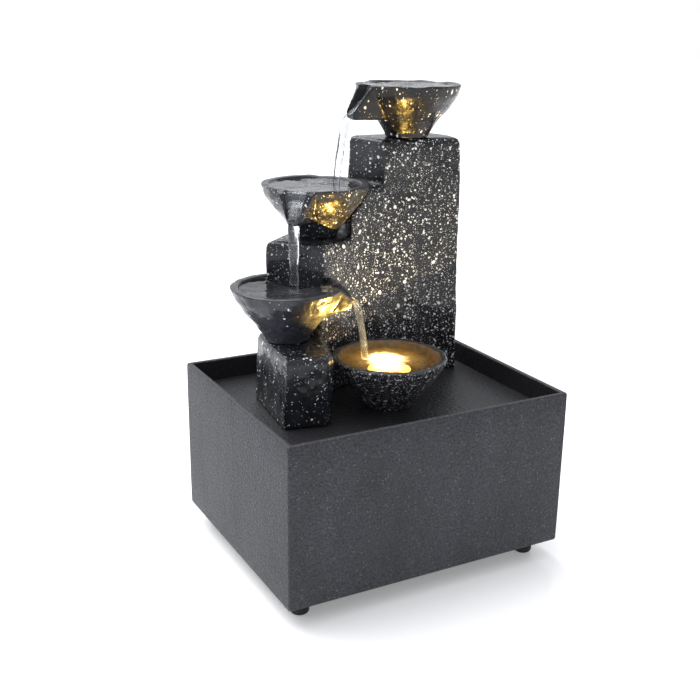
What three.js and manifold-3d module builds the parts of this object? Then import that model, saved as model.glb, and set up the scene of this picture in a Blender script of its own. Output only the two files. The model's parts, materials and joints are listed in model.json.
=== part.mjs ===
// A tabletop water fountain with four stone-look bowls. Three stand on the steps of a hollow cast tower and
// pour into each other. The lowest one stands on the deck and holds a lamp. The deck lies in a rectangular
// tank and lifts out with the tower, the bowls, the pump, the riser tube and the leads, all fixed to it.
// Millimetres, +Z up, -Y the front. The origin is on the table, under the middle of the tank.
import * as THREE from "three";
import { mergeVertices } from "three/addons/utils/BufferGeometryUtils.js";
import { ConvexGeometry } from "three/addons/geometries/ConvexGeometry.js";
import Module from "manifold-3d";

const wasm = await Module();
wasm.setup();

// ---- Driving dimensions ----
const GAP = 0.3; // left between pieces that touch

const FOOT = { radius: 6.1, height: 12.5, insetX: 15, insetY: 17 };
const TANK = { width: 200, depth: 166, height: 106, wall: 4, floor: 4, corner: 1.5, post: 12 };
const DECK = { recess: 14, thick: 4, clearance: 0.5 };

const TANK_BOTTOM = FOOT.height;
const RIM = TANK_BOTTOM + TANK.height;
const FLOOR = TANK_BOTTOM + TANK.floor;
const DECK_TOP = RIM - DECK.recess;
const DECK_BOTTOM = DECK_TOP - DECK.thick;
const TOWER_BASE = DECK_TOP + GAP;

const TOWER = { wall: 6, edge: 3.5, back: 70, draft: 0.06 }; // draft: share by which the top is narrower
const STEP_TOP = {
  third: DECK_TOP + 45.5,
  second: DECK_TOP + 103.5,
  ledge: DECK_TOP + 136,
  first: DECK_TOP + 166,
};

const BOWL = { height: 35, floor: 11, segments: 48 };
// Outer and inner outline of a tower bowl, as [radius, height above its foot].
const BOWL_OUTER = [[14.8, 0], [15.2, 2.5], [20.6, 10.5], [28.2, 19.5], [33.9, 28], [36.2, 35]];
const BOWL_INNER = [[31, 35], [28.6, 27.5], [22.5, 18.5], [15, 12], [12, 11]];
// A spout is a steep chute from a notch in the rim, pointing at the angle turn and ending at [reach, tip] over
// the foot. half is half the notch's width. Its corners are [half width, radius, height above the foot].
const spoutBody = ({ reach, tip, half }) => [
  [half + 3, 31, 34.5],
  [half + 1.5, 36, 33],
  [8.5, 27, 19],
  [4.8, reach, tip + 3.5],
  [3.6, reach - 1.5, tip - 1.5],
  [5, 18.5, 12],
];
const spoutChannel = ({ reach, tip, half }) => [
  [half, 22, 50],
  [half, 26, 29.5],
  [3, reach + 3, 50],
  [3, reach + 3, tip - 1],
];
const bowlAt = (x, y, step, spout) => ({ x, y, z: step + GAP, spout });
const BOWLS = {
  top: bowlAt(50.5, 46, STEP_TOP.first, { turn: 185, reach: 47, tip: 14, half: 7.5 }),
  second: bowlAt(-19, 46, STEP_TOP.second, { turn: 223, reach: 41, tip: 15, half: 11 }),
  third: bowlAt(-56, 12, STEP_TOP.third, { turn: 335, reach: 43, tip: 23, half: 8.5 }),
};

const LAMP = { x: 4.5, y: -16, z: DECK_TOP + GAP };
const LAMP_OUTER = [[16, 0], [16.4, 2], [22.4, 9], [29.6, 17.5], [35.4, 26.5], [38.2, 33.5]];
const LAMP_INNER = [[33.6, 33.5], [30.8, 25.5], [24.6, 16.5], [18.6, 10], [18, 9]];
const LAMP_FLOOR = LAMP.z + 9;
const PUCK = { radius: 14, height: 7, wall: 1.6 };
const CHIP = { count: 4, circle: 7, half: 1.75 };

const RISER = { outer: 5.8, inner: 4.3, hole: 6.3 };
const SPIGOT_RADIUS = RISER.inner - GAP;
const NOZZLE = { bore: 2.6, flange: 8.6, stem: 14, lip: 4.6 };

const PUMP = {
  y: 46,
  axisZ: FLOOR + 21,
  front: 44,
  volute: 57,
  rear: 85,
  bottom: FLOOR + 5,
  top: FLOOR + 39,
  width: 36,
};
const PUMP_OUTLINE = roundedRectangle(
  PUMP.y - PUMP.width / 2,
  PUMP.bottom,
  PUMP.y + PUMP.width / 2,
  PUMP.top,
  5,
);
const PUMP_COVER_FRONT = 35;
const PUMP_LEAD_X = 79;
const SHAFT = { radius: 1, clearance: 0.1, front: PUMP.front - 2.2 };
const INTAKE = { front: 7, back: 6.4, bushSeat: 1.9 };
const BLADE = { front: 46.5, length: 8, radius: 10.4, count: 6 };
const CHAMBER_RADIUS = 12;
const WELL = { radius: 7.5, wall: 1.6, end: 75 };

const DUCT = { left: 38, right: 70, front: 40, back: 62 }; // deck opening under the hollow of the tower
const DRAIN = { at: [-14, 4, 22], y: 74.5, length: 14, width: 4.2 }; // slots that let water back into the tank
const GROMMET_HOLE = 3.5;
const COVER = {
  left: 30,
  right: 72,
  bottom: DECK_TOP + 5,
  top: DECK_TOP + 145,
  thick: 3,
  screwInset: 3.5,
  lap: 7,
};
const VENT = { left: 40, right: 62, bottom: COVER.bottom + 84, pitch: 7, height: 2.4, count: 6 };
const INLET = { x: 55, z: DECK_TOP + 33, barrel: 4, bore: 2.8, pin: 1, flange: 6, length: 15 };
const LEAD_RADIUS = 1.9;
const RELIEF_RADIUS = LEAD_RADIUS + 1.6;
const LEAD_SPACING = 2.2; // from the inlet's axis to each of the two leads that end on it
const LEADS_END = TOWER.back + GAP + COVER.thick - INLET.length;
const SCREW = { head: 3.1, shank: 1.4, hole: 1.8 };
const TOWER_SCREWS = [[-68, -19], [-62, 28], [0, 61], [78, 50]];

// ---- Materials ----
function finish(color, roughness, metalness = 0) {
  return new THREE.MeshStandardMaterial({ color, roughness, metalness });
}

const TANK_FINISH = finish(0x3b3b40, 0.6);
const DECK_FINISH = finish(0x232427, 0.45);
const STONE = finish(0x17181c, 0.22);
const RUBBER = finish(0x101011, 0.85);
const COVER_PLASTIC = finish(0x1b1b1e, 0.55);
const PUMP_PLASTIC = finish(0x141416, 0.45);
const TUBE_VINYL = finish(0xdfe6e8, 0.15);
const STEEL = finish(0xa9acb0, 0.3, 1);
const COPPER = finish(0xb06a34, 0.4, 0.9);
const SPONGE = finish(0x26282c, 0.95);
const CERAMIC = finish(0xe9e6df, 0.3);
const MAGNET = finish(0x3a3536, 0.5);
const BOARD = finish(0x1e4a2c, 0.5);
const LENS = finish(0xfff1c4, 0.08);
const CABLE = finish(0x0d0d0e, 0.6);

// ---- Helpers ----
const fountain = new THREE.Group();

// A closed three.js geometry as a solid that can be joined and cut.
function solid(geometry) {
  const bare = geometry.clone();
  bare.deleteAttribute("normal");
  bare.deleteAttribute("uv");
  const merged = mergeVertices(bare, 1e-4);
  return new wasm.Manifold(
    new wasm.Mesh({
      numProp: 3,
      vertProperties: merged.attributes.position.array,
      triVerts: new Uint32Array(merged.index.array),
    }),
  );
}

// A solid back as a three.js geometry.
function geometryOf(body) {
  const { vertProperties, triVerts, numProp, numVert } = body.getMesh();
  const position = new Float32Array(numVert * 3);
  for (let i = 0; i < numVert; i++) {
    position.set(vertProperties.subarray(i * numProp, i * numProp + 3), i * 3);
  }
  const geometry = new THREE.BufferGeometry();
  geometry.setAttribute("position", new THREE.BufferAttribute(position, 3));
  geometry.setIndex(new THREE.BufferAttribute(new Uint32Array(triVerts), 1));
  geometry.computeVertexNormals();
  return geometry;
}

function add(name, shape, material) {
  const mesh = new THREE.Mesh(shape.isBufferGeometry ? shape : geometryOf(shape), material);
  mesh.name = name;
  fountain.add(mesh);
  return mesh;
}

// Adds a copy of one shape at each place, numbered from 1.
function addEach(name, places, shapeAt, material) {
  places.forEach((place, i) => add(`${name}_${i + 1}`, shapeAt(place), material));
}

const cut = (body, ...shapes) => shapes.reduce((left, shape) => left.subtract(solid(shape)), body);
const join = (body, ...shapes) => shapes.reduce((whole, shape) => whole.add(solid(shape)), body);

// A box between two corners.
function block([x0, y0, z0], [x1, y1, z1]) {
  const box = new THREE.BoxGeometry(x1 - x0, y1 - y0, z1 - z0);
  return box.translate((x0 + x1) / 2, (y0 + y1) / 2, (z0 + z1) / 2);
}

// A profile of [radius, height] turned round an axis, standing at a point.
function turned(profile, [x, y, z], axis = "z", segments = 32) {
  const points = profile.map(([r, h]) => new THREE.Vector2(r, h));
  const body = new THREE.LatheGeometry(points, segments);
  if (axis === "z") body.rotateX(Math.PI / 2);
  if (axis === "x") body.rotateZ(-Math.PI / 2);
  return body.translate(x, y, z);
}

const rod = (radius, from, length, axis, segments) =>
  turned([[0, 0], [radius, 0], [radius, length], [0, length]], from, axis, segments);

const ring = (outer, inner, from, length, axis, segments) =>
  turned([[inner, 0], [outer, 0], [outer, length], [inner, length], [inner, 0]], from, axis, segments);

// An outline of [x, y], running counterclockwise, drawn in by the same distance on every side.
function inset(outline, distance) {
  const corner = (i) => new THREE.Vector2(...outline.at(i % outline.length));
  return outline.map((_, i) => {
    const before = corner(i).sub(corner(i - 1)).normalize();
    const after = corner(i + 1).sub(corner(i)).normalize();
    const inward = new THREE.Vector2(-before.y - after.y, before.x + after.x).normalize();
    const reach = distance / Math.max(0.4, inward.dot(new THREE.Vector2(-before.y, before.x)));
    return corner(i).addScaledVector(inward, reach).toArray();
  });
}

// An outline of [x, y] pulled up from z0 to z1, with its edges rounded by edge.
function pulled(outline, z0, z1, edge = 0) {
  const shape = new THREE.Shape(outline.map(([x, y]) => new THREE.Vector2(x, y)));
  const body = new THREE.ExtrudeGeometry(shape, {
    depth: z1 - z0 - 2 * edge,
    bevelEnabled: edge > 0,
    bevelThickness: edge,
    bevelSize: edge,
    bevelOffset: -edge,
    bevelSegments: 2,
  });
  return body.translate(0, 0, z0 + edge);
}

// A rectangle's outline with round corners, from one corner to the opposite one.
function roundedRectangle(x0, y0, x1, y1, radius) {
  const corners = [[x1, y1, 0], [x0, y1, 90], [x0, y0, 180], [x1, y0, 270]];
  return corners.flatMap(([x, y, start]) => {
    const cx = x + (x === x0 ? radius : -radius);
    const cy = y + (y === y0 ? radius : -radius);
    return [0, 30, 60, 90].map((turn) => {
      const angle = THREE.MathUtils.degToRad(start + turn);
      return [cx + radius * Math.cos(angle), cy + radius * Math.sin(angle)];
    });
  });
}

// A flat plate along +X from x0 to x1, with an outline of [y, z].
function plateAcross(outline, x0, x1) {
  const shape = new THREE.Shape(outline.map(([y, z]) => new THREE.Vector2(y, z)));
  const body = new THREE.ExtrudeGeometry(shape, { depth: x1 - x0, bevelEnabled: false });
  return body.rotateZ(Math.PI / 2).rotateY(Math.PI / 2).translate(x0, 0, 0);
}

// A screw with a domed head. Its head sits at from, and its tip points along the axis in the direction 1 or -1.
function screw(from, length, axis, direction) {
  const domed = [[0, -2.4], [2, -2.2], [SCREW.head, -1], [SCREW.head, 0]];
  const shank = [[SCREW.shank, 0], [SCREW.shank, length - 1], [0, length]];
  const profile = [...domed, ...shank].map(([r, h]) => [r, h * direction]);
  return turned(direction > 0 ? profile : profile.reverse(), from, axis, 12);
}

// A cable of round section along straight runs between points, with its bends rounded.
function lead(points, bend = 7) {
  const corners = points.map((p) => new THREE.Vector3(...p));
  const path = new THREE.CurvePath();
  let from = corners[0];
  for (let i = 1; i < corners.length - 1; i++) {
    const toward = (other) => {
      const reach = Math.min(bend, corners[i].distanceTo(other) / 2);
      return corners[i].clone().add(other.clone().sub(corners[i]).setLength(reach));
    };
    const entry = toward(corners[i - 1]);
    const exit = toward(corners[i + 1]);
    if (entry.distanceTo(from) > 0.01) path.add(new THREE.LineCurve3(from, entry));
    path.add(new THREE.QuadraticBezierCurve3(entry, corners[i], exit));
    from = exit;
  }
  path.add(new THREE.LineCurve3(from, corners.at(-1)));
  const sides = 8;
  const section = Array.from({ length: sides }, (_, i) => {
    const angle = (i / sides) * 2 * Math.PI;
    return new THREE.Vector2(LEAD_RADIUS * Math.cos(angle), LEAD_RADIUS * Math.sin(angle));
  });
  const steps = Math.round(path.getLength() / 3);
  return new THREE.ExtrudeGeometry(new THREE.Shape(section), { steps, extrudePath: path });
}

// ---- Tank ----
function tank() {
  const x = TANK.width / 2;
  const y = TANK.depth / 2;
  const innerX = x - TANK.wall;
  const innerY = y - TANK.wall;
  const shell = solid(pulled(roundedRectangle(-x, -y, x, y, TANK.corner), TANK_BOTTOM, RIM));
  let body = cut(shell, block([-innerX, -innerY, FLOOR], [innerX, innerY, RIM + 1]));
  // Four corner posts carry the deck. They reach 1 mm into the walls and the floor.
  for (const postX of [-innerX - 1, innerX + 1 - TANK.post]) {
    for (const postY of [-innerY - 1, innerY + 1 - TANK.post]) {
      const top = [postX + TANK.post, postY + TANK.post, DECK_BOTTOM - GAP];
      body = join(body, block([postX, postY, FLOOR - 1], top));
    }
  }
  add("tank", body, TANK_FINISH);
}

function feet() {
  const x = TANK.width / 2 - FOOT.insetX;
  const y = TANK.depth / 2 - FOOT.insetY;
  const top = FOOT.height - GAP;
  const r = FOOT.radius;
  const profile = [[0, 0], [r - 2, 0], [r - 0.6, 0.8], [r, 2.2], [r, top], [0, top]];
  const places = { front_left: [-x, -y], front_right: [x, -y], back_left: [-x, y], back_right: [x, y] };
  for (const [place, [px, py]] of Object.entries(places)) {
    add(`foot_${place}`, turned(profile, [px, py, 0], "z", 24), RUBBER);
  }
}

// ---- Deck ----
function deck() {
  const x = TANK.width / 2 - TANK.wall - DECK.clearance;
  const y = TANK.depth / 2 - TANK.wall - DECK.clearance;
  const below = DECK_BOTTOM - 1;
  const above = DECK_TOP + 1;
  const hole = (radius, [hx, hy]) => rod(radius, [hx, hy, below], above - below, "z", 16);
  let plate = solid(block([-x, -y, DECK_BOTTOM], [x, y, DECK_TOP]));
  plate = cut(plate, block([DUCT.left, DUCT.front, below], [DUCT.right, DUCT.back, above]));
  for (const slotX of DRAIN.at) {
    const left = slotX - DRAIN.length / 2;
    const right = slotX + DRAIN.length / 2;
    const slot = roundedRectangle(left, DRAIN.y - DRAIN.width / 2, right, DRAIN.y + DRAIN.width / 2, 2);
    plate = cut(plate, pulled(slot, below, above));
  }
  plate = cut(plate, hole(GROMMET_HOLE, [LAMP.x, LAMP.y]));
  plate = cut(plate, ...TOWER_SCREWS.map((place) => hole(SCREW.hole, place)));
  add("deck_tray", plate, DECK_FINISH);
  const screwAt = (place) => screw([...place, DECK_BOTTOM - GAP], 16, "z", 1);
  addEach("tower_screw", TOWER_SCREWS, screwAt, STEEL);
}

// ---- Tower ----
// The wall behind the lamp bowl is one hollow curve, from the second column's corner to the right edge.
const WALL_CURVE = new THREE.QuadraticBezierCurve(
  new THREE.Vector2(-30, 15),
  new THREE.Vector2(27, 48),
  new THREE.Vector2(85, 25),
);
const wallPoints = (from, to) =>
  WALL_CURVE.getPoints(20).slice(from, to + 1).map((p) => [p.x, p.y]);

// The four columns that make up the tower, each as high as its step, with outlines of [x, y].
const COLUMNS = [
  {
    top: STEP_TOP.third,
    outline: [[-77, -28], [-51, -34], [-44.5, -29], [-30, 14], [-22, 45], [-42, 52], [-59, 42], [-70, 32]],
  },
  {
    top: STEP_TOP.second,
    outline: [[-59, 43], ...wallPoints(0, 13), [46, TOWER.back], [-26, TOWER.back]],
  },
  {
    top: STEP_TOP.ledge,
    outline: [...wallPoints(5, 13), [46, 68], [0, 68]],
  },
  {
    top: STEP_TOP.first,
    outline: [
      ...wallPoints(10, 20),
      [89, 42],
      [84, 62],
      [76, TOWER.back],
      [20, TOWER.back],
      [15, 64],
    ],
  },
];

// Narrows the tower towards its top, as a casting that leaves its mould upwards.
function drafted(geometry) {
  const middle = 20; // the x of the line it narrows towards
  const place = geometry.getAttribute("position");
  const height = STEP_TOP.first - DECK_TOP;
  for (let i = 0; i < place.count; i++) {
    const share = 1 - (TOWER.draft * (place.getZ(i) - DECK_TOP)) / height;
    place.setX(i, middle + (place.getX(i) - middle) * share);
  }
  return geometry;
}

// All columns as one solid, drawn in by shrink on every side but the bottom.
function columns(chosen, shrink) {
  const below = DECK_TOP - 12;
  const parts = chosen.map(({ top, outline }) => {
    const edge = shrink > 0 ? 0 : TOWER.edge; // the hollow is left sharp
    const body = pulled(inset(outline, shrink), below, top - shrink, edge);
    return solid(drafted(body));
  });
  return parts.reduce((whole, part) => whole.add(part));
}

// The room a bowl takes from its foot upwards, with a margin all round.
function bowlEnvelope({ x, y, z }, margin) {
  const height = 60;
  const outer = BOWL_OUTER.map(([r, h]) => [r + margin, h]);
  const widest = outer.at(-1)[0];
  return turned([[0, 0], ...outer, [widest, height], [0, height]], [x, y, z], "z", BOWL.segments);
}

const coverX = [COVER.left + COVER.screwInset, COVER.right - COVER.screwInset];
const coverZ = [COVER.bottom + COVER.screwInset, COVER.top - COVER.screwInset];
const COVER_SCREWS = coverZ.flatMap((z) => coverX.map((x) => [x, z]));

function tower() {
  let body = columns(COLUMNS, 0).subtract(columns(COLUMNS, TOWER.wall));
  for (const place of TOWER_SCREWS) {
    body = join(body, rod(5, [...place, DECK_TOP - 2], 18, "z", 20));
    body = cut(body, rod(SCREW.hole, [...place, DECK_TOP - 3], 16, "z", 12));
  }
  const { x, y } = BOWLS.top;
  body = cut(
    body,
    block([-TANK.width, -TANK.width, 0], [TANK.width, TANK.width, TOWER_BASE]),
    bowlEnvelope(BOWLS.second, 0.5),
    rod(RISER.hole, [x, y, STEP_TOP.first - 23], 40, "z", 28),
  );
  const windowLow = [COVER.left + COVER.lap, TOWER.back - 9, COVER.bottom + COVER.lap];
  const windowHigh = [COVER.right - COVER.lap, TOWER.back + 5, COVER.top - COVER.lap];
  body = cut(body, block(windowLow, windowHigh));
  body = cut(body, ...COVER_SCREWS.map(([sx, sz]) => rod(SCREW.hole, [sx, TOWER.back - 5.5, sz], 8, "y", 12)));
  add("tower", body, STONE);
}

function rearCover() {
  const face = TOWER.back + GAP;
  const back = face + COVER.thick;
  const hole = (radius, [x, z]) => rod(radius, [x, face - 1, z], COVER.thick + 2, "y", 24);
  let plate = solid(block([COVER.left, face, COVER.bottom], [COVER.right, back, COVER.top]));
  plate = cut(plate, ...COVER_SCREWS.map((place) => hole(SCREW.hole, place)));
  plate = cut(plate, hole(INLET.barrel + GAP, [INLET.x, INLET.z]));
  for (let i = 0; i < VENT.count; i++) {
    const z = VENT.bottom + VENT.pitch * i;
    plate = cut(plate, block([VENT.left, face - 1, z], [VENT.right, back + 1, z + VENT.height]));
  }
  add("rear_cover", plate, COVER_PLASTIC);
  const screwAt = ([sx, sz]) => screw([sx, back + GAP, sz], 8, "y", -1);
  addEach("cover_screw", COVER_SCREWS, screwAt, STEEL);
}

// A barrel socket with a centre pin, held in the cover by a nut over a washer.
function powerInlet() {
  const face = TOWER.back + GAP + COVER.thick + GAP;
  const { x, z, barrel, bore, flange, pin } = INLET;
  const back = face + 2.5;
  const inside = face - INLET.length;
  const body = [[0, inside], [barrel, inside], [barrel, face], [flange, face], [flange, back]];
  const socket = [[bore, back], [bore, back - 10], [pin, back - 10], [pin, back - 1.5], [0, back - 1.5]];
  add("power_inlet", turned([...body, ...socket], [x, 0, z], "y", 28), PUMP_PLASTIC);
  const nutFront = TOWER.back - 5;
  const nutBack = nutFront + 3;
  const nut = solid(rod(6.6, [x, nutFront, z], nutBack - nutFront, "y", 6));
  add("inlet_nut", cut(nut, rod(barrel + GAP, [x, nutFront - 1, z], 5, "y", 28)), STEEL);
  const washerFront = nutBack + GAP;
  const washer = ring(6.2, barrel + GAP, [x, washerFront, z], TOWER.back - washerFront, "y", 28);
  add("inlet_washer", washer, RUBBER);
}

// ---- Bowls ----
// A convex body through corner points on both sides of the spout's middle line.
function spoutHull(corners, { x, y, z, spout }) {
  const turn = THREE.MathUtils.degToRad(spout.turn);
  const points = corners.flatMap(([half, r, h]) =>
    [-half, half].map((side) => {
      const px = x + r * Math.cos(turn) - side * Math.sin(turn);
      const py = y + r * Math.sin(turn) + side * Math.cos(turn);
      return new THREE.Vector3(px, py, z + h);
    }),
  );
  return solid(new ConvexGeometry(points));
}

function towerBowl(place) {
  const foot = [place.x, place.y, place.z];
  const outer = solid(turned([[0, 0], ...BOWL_OUTER, [0, BOWL.height]], foot, "z", BOWL.segments));
  const mouth = [[BOWL_INNER[0][0] + 0.6, BOWL.height + 2], [0, BOWL.height + 2]];
  const inner = [...BOWL_INNER].reverse();
  const hollow = solid(turned([[0, BOWL.floor], ...inner, ...mouth], foot, "z", BOWL.segments));
  const chute = spoutHull(spoutBody(place.spout), place);
  const channel = spoutHull(spoutChannel(place.spout), place);
  return outer.add(chute).subtract(hollow).subtract(channel);
}

function bowls() {
  const { x, y, z } = BOWLS.top;
  const riserHole = rod(RISER.hole, [x, y, z - 1], BOWL.floor + 3, "z", 28);
  add("top_bowl", cut(towerBowl(BOWLS.top), riserHole), STONE);
  add("second_bowl", towerBowl(BOWLS.second), STONE);
  // The third bowl is cast against the second column, so it is cut off where that column stands.
  const pieces = towerBowl(BOWLS.third).subtract(columns(COLUMNS.slice(1), -0.5)).decompose();
  const main = pieces.reduce((most, piece) => (piece.volume() > most.volume() ? piece : most));
  add("third_bowl", main, STONE);
}

// ---- Lamp bowl ----
function lampBowl() {
  const foot = [LAMP.x, LAMP.y, LAMP.z];
  const inner = [...LAMP_INNER].reverse();
  const profile = [[3.4, 0], ...LAMP_OUTER, ...LAMP_INNER, [3.4, inner[0][1]], [3.4, 0]];
  add("lamp_bowl", turned(profile, foot, "z", BOWL.segments), STONE);

  const seat = LAMP_FLOOR + GAP;
  const { radius, height, wall } = PUCK;
  const leadHole = 2.4;
  const outside = [[leadHole, 0], [radius, 0], [radius, height]];
  const inside = [[radius - wall, height], [radius - wall, wall], [leadHole, wall], [leadHole, 0]];
  add("led_base", turned([...outside, ...inside], [LAMP.x, LAMP.y, seat], "z", 36), PUMP_PLASTIC);

  const boardZ = seat + wall + GAP;
  let board = solid(ring(radius - wall - GAP, 2.6, [LAMP.x, LAMP.y, boardZ], 1.4, "z", 32));
  for (let i = 0; i < CHIP.count; i++) {
    const angle = ((i + 0.5) / CHIP.count) * 2 * Math.PI;
    const cx = LAMP.x + CHIP.circle * Math.cos(angle);
    const cy = LAMP.y + CHIP.circle * Math.sin(angle);
    const low = [cx - CHIP.half, cy - CHIP.half, boardZ + 1];
    board = join(board, block(low, [cx + CHIP.half, cy + CHIP.half, boardZ + 2.2]));
  }
  add("led_board", board, BOARD);

  const sealZ = seat + height + GAP;
  const sealThick = 0.8;
  const seal = ring(radius - 0.2, radius - 1.8, [LAMP.x, LAMP.y, sealZ], sealThick, "z", 36);
  add("lens_seal", seal, RUBBER);
  const edge = [[0, 0], [radius, 0], [radius, 1.2]];
  const dome = [[radius - 2, 2.4], [radius - 6, 3.6], [radius - 10, 4.2], [0, 4.4]];
  const lensZ = sealZ + sealThick + GAP;
  add("led_lens", turned([...edge, ...dome], [LAMP.x, LAMP.y, lensZ], "z", 36), LENS);

  // A sleeve through the deck and the bowl's foot, with a collar under the deck.
  const bore = LEAD_RADIUS + GAP;
  const sleeve = ring(3.1, bore, [LAMP.x, LAMP.y, DECK_BOTTOM - GAP - 1], DECK.thick + 8.6, "z", 24);
  const collar = ring(4.9, bore, [LAMP.x, LAMP.y, DECK_BOTTOM - GAP - 1.6], 1.6, "z", 24);
  add("lamp_grommet", join(solid(sleeve), collar), RUBBER);
}

// ---- Water way ----
function waterWay() {
  const { x, y, z } = BOWLS.top;
  const seat = z + BOWL.floor + GAP;
  const { bore, flange, stem, lip } = NOZZLE;
  const spigot = [[bore, -stem], [SPIGOT_RADIUS, -stem], [SPIGOT_RADIUS, 0]];
  const head = [[flange, 0], [flange, 1.2], [6, 2.4], [4.4, lip], [bore, lip], [bore, -stem]];
  add("outlet_nozzle", turned([...spigot, ...head], [x, y, seat], "z", 28), PUMP_PLASTIC);
  const bottom = PUMP.top + 2;
  const top = seat - 1.2;
  add("riser_tube", ring(RISER.outer, RISER.inner, [x, y, bottom], top - bottom, "z", 28), TUBE_VINYL);
}

// ---- Pump ----
function pumpHousing() {
  const { y, axisZ, front, volute, rear, bottom, top, width } = PUMP;
  const left = y - width / 2;
  const right = y + width / 2;
  const inPump = (radius, from, to, segments) => rod(radius, [from, y, axisZ], to - from, "x", segments);
  let body = solid(plateAcross(PUMP_OUTLINE, front, rear));
  body = cut(body, inPump(CHAMBER_RADIUS, front - 1, volute - 2, 36));
  // The rear pocket holds the motor round the closed well in which the magnet turns.
  const wall = 2.5;
  const pocket = solid(block([volute + 2, left + wall, bottom + wall], [rear + 1, right - wall, top - wall]));
  const well = inPump(WELL.radius + WELL.wall, volute, WELL.end + WELL.wall, 32);
  body = body.subtract(cut(pocket, well));
  body = cut(body, inPump(WELL.radius, volute - 3, WELL.end, 32));
  const { x } = BOWLS.top;
  body = join(body, rod(SPIGOT_RADIUS, [x, y, top - 1], 15, "z", 28));
  body = cut(
    body,
    rod(2.4, [x, y, axisZ + 6], top - axisZ + 12, "z", 20),
    rod(RELIEF_RADIUS + GAP, [PUMP_LEAD_X, y, top - 3], 6, "z", 20),
  );
  add("pump_housing", body, PUMP_PLASTIC);
}

function pumpMotor() {
  const { y, axisZ, rear } = PUMP;
  const legFront = 60;
  const legHalf = 7;
  const legOuter = 13.4;
  const legInner = WELL.radius + WELL.wall + 0.4;
  const yokeFront = 81;
  const yokeBack = rear - 1;
  // A box round the pump's axis.
  const around = (x0, x1, halfY, halfZ) =>
    block([x0, y - halfY, axisZ - halfZ], [x1, y + halfY, axisZ + halfZ]);
  const core = around(legFront, yokeBack, legHalf, legOuter);
  const between = around(legFront - 1, yokeFront, legHalf + 1, legInner);
  add("stator_core", cut(solid(core), between), STEEL);

  const winding = around(78, yokeBack + 0.8, 11, 8);
  const slot = around(yokeFront - GAP, yokeBack + GAP, legHalf + GAP, 9);
  add("stator_coil", cut(solid(winding), slot), COPPER);

  add("pump_rear_cap", plateAcross(PUMP_OUTLINE, rear + GAP, rear + GAP + 2), PUMP_PLASTIC);
}

function rotor() {
  const { y, axisZ } = PUMP;
  const { front, length, radius, count } = BLADE;
  const onAxis = (r, from, reach, segments) => rod(r, [from, y, axisZ], reach, "x", segments);
  const magnetStart = 59;
  let body = solid(onAxis(3.4, front, magnetStart - front + 1, 24));
  body = join(body, onAxis(6.8, magnetStart, 14.5, 32));
  body = join(body, onAxis(radius, front + length - 1.2, 1.2, 36));
  for (let i = 0; i < count; i++) {
    const blade = block([front, -0.7, 2], [front + length, 0.7, radius]);
    blade.rotateX((i / count) * 2 * Math.PI).translate(0, y, axisZ);
    body = join(body, blade);
  }
  body = cut(body, onAxis(SHAFT.radius + SHAFT.clearance, front - 2, 40, 16));
  add("impeller", body, MAGNET);
  const shaftEnd = WELL.end - GAP;
  add("impeller_shaft", onAxis(SHAFT.radius, SHAFT.front, shaftEnd - SHAFT.front, 16), CERAMIC);
  const bush = ring(6.6, SHAFT.radius + GAP, [WELL.end - 1.2, y, axisZ], 0.9, "x", 24);
  add("shaft_bush_rear", bush, RUBBER);
}

// An open box with slots in both sides, which takes in the water in front of the impeller.
function pumpCover() {
  const { y, axisZ, front, bottom, top, width } = PUMP;
  const wall = 2;
  const x0 = PUMP_COVER_FRONT;
  const x1 = front - GAP;
  const inner0 = x0 + wall;
  const inner1 = x1 - wall;
  const left = y - width / 2;
  const right = y + width / 2;
  const onAxis = (radius, from, length, segments) => rod(radius, [from, y, axisZ], length, "x", segments);

  let body = solid(block([x0, left, bottom], [x1, right, top]));
  for (let i = 0; i < 5; i++) {
    const z = bottom + 4.5 + 5.5 * i;
    body = cut(body, block([inner0, left - 1, z], [inner1, right + 1, z + 3]));
  }
  body = cut(
    body,
    block([inner0, left + wall, bottom + wall], [inner1, right - wall, top - wall]),
    onAxis(INTAKE.front, x0 - 1, wall + 2, 28),
    onAxis(INTAKE.back, inner1 - 1, wall + 2, 28),
  );
  // Two crossed spokes and a hub hold the front bush in the way to the impeller.
  const spoke = INTAKE.back + 0.6;
  body = join(
    body,
    block([inner1, y - spoke, axisZ - 1.4], [x1, y + spoke, axisZ + 1.4]),
    block([inner1, y - 1.4, axisZ - spoke], [x1, y + 1.4, axisZ + spoke]),
    onAxis(3.2, inner1 - 1.6, wall + 1.6, 24),
  );
  body = cut(body, onAxis(INTAKE.bushSeat, inner1 - 0.4, wall + 2, 20));
  add("pump_cover", body, PUMP_PLASTIC);
  const bushRadius = INTAKE.bushSeat - GAP;
  const bushBore = SHAFT.radius + SHAFT.clearance + 0.05;
  add("shaft_bush_front", ring(bushRadius, bushBore, [inner1, y, axisZ], wall, "x", 20), RUBBER);

  const edge = wall + GAP;
  const spongeLow = [inner0 + GAP, left + edge, bottom + edge];
  const spongeHigh = [inner0 + 3, right - edge, top - edge];
  add("intake_sponge", block(spongeLow, spongeHigh), SPONGE);

  // The regulator is a disc with two ports and a hub in the cover's opening. It is turned by its tab.
  const back = x0 - GAP;
  let disc = solid(onAxis(8.6, back - 1.6, 1.6, 36));
  disc = join(disc, ring(INTAKE.front - 0.4, 5.3, [back - 1, y, axisZ], wall + 1, "x", 36));
  for (const side of [-1, 1]) {
    disc = cut(disc, rod(1.9, [back - 3, y + side * 3.2, axisZ], 5, "x", 20));
  }
  disc = join(disc, block([back - 4, y - 1, axisZ + 1], [back - 1, y + 1, axisZ + 8]));
  add("flow_regulator", disc, COVER_PLASTIC);
}

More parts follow.
